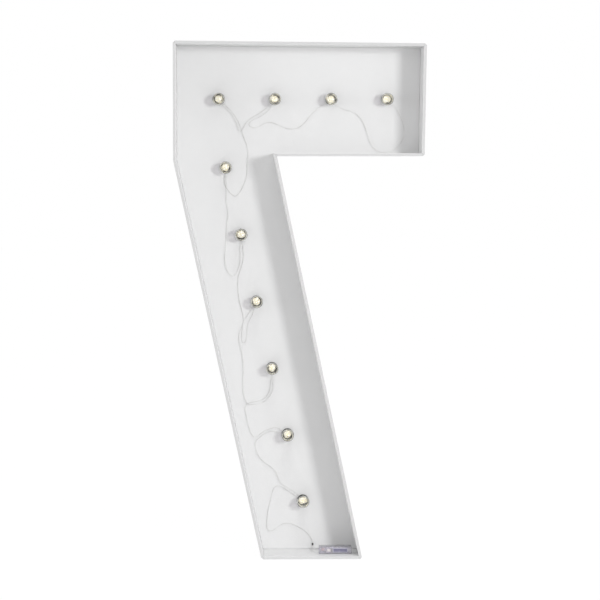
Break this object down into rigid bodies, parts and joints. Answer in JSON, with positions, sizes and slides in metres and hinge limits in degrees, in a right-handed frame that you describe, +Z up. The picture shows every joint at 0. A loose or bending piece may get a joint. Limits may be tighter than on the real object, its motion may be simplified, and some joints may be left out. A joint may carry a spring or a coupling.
{
  "type": "marquee number",
  "caption": "Open-fronted white foam board tray in the shape of the numeral 7, with small clear-covered bulbs strung on thin wire and a coin cell battery case on its foot.",
  "frame": {"origin": "middle of the bounding box at the level of the foot's underside", "axes": "+Z up the numeral, +X to the viewer's right, +Y from the open front to the back"},
  "size_m": [0.4387, 0.1, 0.9005],
  "materials": {
    "foam_board": "matte",
    "clear_plastic": "gloss",
    "dark_plastic": "satin",
    "warm_lamp": "satin",
    "silver_wire": "satin",
    "black_sleeve": "matte",
    "violet_plastic": "satin",
    "cell_steel": "satin",
    "contact_metal": "satin",
    "circuit_resin": "satin",
    "switch_plastic": "satin"
  },
  "bodies": {
    "number": {"back_panel": "foam_board", "top_wall": "foam_board", "right_end_wall": "foam_board", "bar_underside_wall": "foam_board", "leg_right_wall": "foam_board", "foot_wall": "foam_board", "leg_left_wall": "foam_board", "left_end_wall": "foam_board", "lamp_holder_01": "dark_plastic", "lamp_holder_02": "dark_plastic", "lamp_holder_03": "dark_plastic", "lamp_holder_04": "dark_plastic", "lamp_holder_05": "dark_plastic", "lamp_holder_06": "dark_plastic", "lamp_holder_07": "dark_plastic", "lamp_holder_08": "dark_plastic", "lamp_holder_09": "dark_plastic", "lamp_holder_10": "dark_plastic", "led_lamp_01": "warm_lamp", "led_lamp_02": "warm_lamp", "led_lamp_03": "warm_lamp", "led_lamp_04": "warm_lamp", "led_lamp_05": "warm_lamp", "led_lamp_06": "warm_lamp", "led_lamp_07": "warm_lamp", "led_lamp_08": "warm_lamp", "led_lamp_09": "warm_lamp", "led_lamp_10": "warm_lamp", "bulb_cover_01": "clear_plastic", "bulb_cover_02": "clear_plastic", "bulb_cover_03": "clear_plastic", "bulb_cover_04": "clear_plastic", "bulb_cover_05": "clear_plastic", "bulb_cover_06": "clear_plastic", "bulb_cover_07": "clear_plastic", "bulb_cover_08": "clear_plastic", "bulb_cover_09": "clear_plastic", "bulb_cover_10": "clear_plastic", "wire_bulb_10_to_09": "silver_wire", "wire_bulb_09_to_08": "silver_wire", "wire_bulb_08_to_07": "silver_wire", "wire_bulb_07_to_06": "silver_wire", "wire_bulb_06_to_05": "silver_wire", "wire_bulb_05_to_01": "silver_wire", "wire_bulb_01_to_02": "silver_wire", "wire_bulb_02_to_03": "silver_wire", "wire_bulb_03_to_04": "silver_wire", "wire_case_to_bulb_10": "silver_wire", "lead_sleeve": "black_sleeve", "battery_case": "clear_plastic", "case_end_cap": "clear_plastic", "contact_strip_lower": "contact_metal", "contact_strip_upper": "contact_metal", "circuit_board": "circuit_resin"},
    "drawer": {"battery_drawer": "violet_plastic", "coin_cell_lower": "cell_steel", "coin_cell_upper": "cell_steel"},
    "switch": {"switch_slider": "switch_plastic"}
  },
  "joints": [
    {"name": "drawer_slide", "type": "slide", "parent": "number", "child": "drawer", "axis": [0, -1, 0], "range_m": [0, 0.0225]},
    {"name": "switch_slide", "type": "slide", "parent": "number", "child": "switch", "axis": [1, 0, 0], "range_m": [0, 0.003]}
  ]
}
